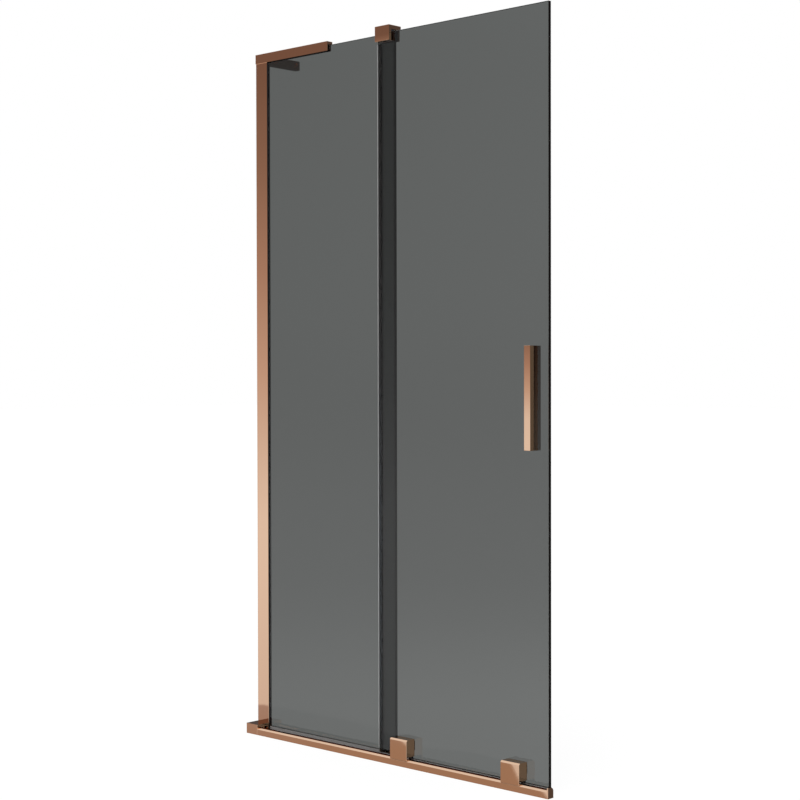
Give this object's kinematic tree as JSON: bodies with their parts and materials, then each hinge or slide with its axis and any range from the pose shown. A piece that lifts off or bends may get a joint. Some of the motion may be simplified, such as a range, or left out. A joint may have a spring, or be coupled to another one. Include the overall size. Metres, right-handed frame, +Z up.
{
  "type": "sliding bath screen",
  "caption": "Frameless sliding bath screen with a fixed glass pane, a rolling glass pane, a low rail, wall profile, top guide and corner brace.",
  "frame": {"origin": "on the wall and the bath rim, in the middle of the fixed pane's thickness", "axes": "+X along the bath rim away from the wall, +Y from the side with the rail and handle bar to the back, +Z up"},
  "size_m": [0.855, 0.158, 1.5136],
  "materials": {
    "rose_gold_profile": "polished and plated in rose gold",
    "rose_gold_cast": "polished and plated in rose gold",
    "tinted_glass": "grey tinted, toughened, polished edges",
    "black_rubber": "matt",
    "black_nylon": "moulded, matt",
    "white_nylon": "moulded, smooth",
    "clear_seal": "clear, soft",
    "steel": "bright stainless",
    "foam_tape": "closed foam"
  },
  "bodies": {
    "screen_frame": {"wall_profile": "rose_gold_profile", "wall_gasket_front": "black_rubber", "wall_gasket_rear": "black_rubber", "fixed_pane": "tinted_glass", "fixed_pane_bottom_seal": "clear_seal", "setting_block": "black_nylon", "corner_brace": "rose_gold_cast", "brace_liner": "black_rubber", "brace_set_screws": "steel", "guide_saddle": "rose_gold_cast", "guide_glide": "black_nylon", "guide_pad": "black_rubber", "guide_set_screws": "steel", "bottom_rail": "rose_gold_profile", "rail_bedding_tape": "foam_tape", "rail_end_cap": "rose_gold_cast", "rail_stops": "black_nylon", "rail_stop_screws": "steel", "rail_wall_bracket": "rose_gold_cast", "rail_bracket_screws": "steel"},
    "sliding_door": {"sliding_pane": "tinted_glass", "pane_edge_seal": "clear_seal", "sliding_pane_bottom_seal": "clear_seal", "carriage_housing_left": "rose_gold_cast", "carriage_housing_right": "rose_gold_cast", "roller_block_left": "black_nylon", "roller_block_right": "black_nylon", "housing_screws": "steel", "carriage_gaskets": "black_rubber", "back_plate_gaskets": "black_rubber", "carriage_back_plates": "rose_gold_cast", "carriage_bolts": "steel", "carriage_bushes": "white_nylon", "roller_axles": "steel", "roller_sleeves": "steel", "outer_handle": "rose_gold_profile", "inner_handle": "rose_gold_profile", "handle_gaskets": "black_rubber", "handle_bolts": "steel", "handle_bushes": "white_nylon"},
    "roller_1": {"roller_bearing_1": "steel", "roller_tyre_1": "white_nylon"},
    "roller_2": {"roller_bearing_2": "steel", "roller_tyre_2": "white_nylon"},
    "roller_3": {"roller_bearing_3": "steel", "roller_tyre_3": "white_nylon"},
    "roller_4": {"roller_bearing_4": "steel", "roller_tyre_4": "white_nylon"}
  },
  "joints": [
    {"name": "door_slide", "type": "slide", "parent": "screen_frame", "child": "sliding_door", "axis": [1, 0, 0], "range_m": [-0.34, 0]},
    {"name": "roller_spin_1", "type": "hinge", "parent": "sliding_door", "child": "roller_1", "pos_m": [0.4559, -0.032, 0.02055], "axis": [0, 1, 0], "continuous": true},
    {"name": "roller_spin_2", "type": "hinge", "parent": "sliding_door", "child": "roller_2", "pos_m": [0.4769, -0.032, 0.02055], "axis": [0, 1, 0], "continuous": true},
    {"name": "roller_spin_3", "type": "hinge", "parent": "sliding_door", "child": "roller_3", "pos_m": [0.7508, -0.032, 0.02055], "axis": [0, 1, 0], "continuous": true},
    {"name": "roller_spin_4", "type": "hinge", "parent": "sliding_door", "child": "roller_4", "pos_m": [0.7718, -0.032, 0.02055], "axis": [0, 1, 0], "continuous": true}
  ],
  "couplings": [
    {"joint": "roller_spin_1", "follows": "door_slide", "rad_per_m": 108.11},
    {"joint": "roller_spin_2", "follows": "door_slide", "rad_per_m": 108.11},
    {"joint": "roller_spin_3", "follows": "door_slide", "rad_per_m": 108.11},
    {"joint": "roller_spin_4", "follows": "door_slide", "rad_per_m": 108.11}
  ]
}
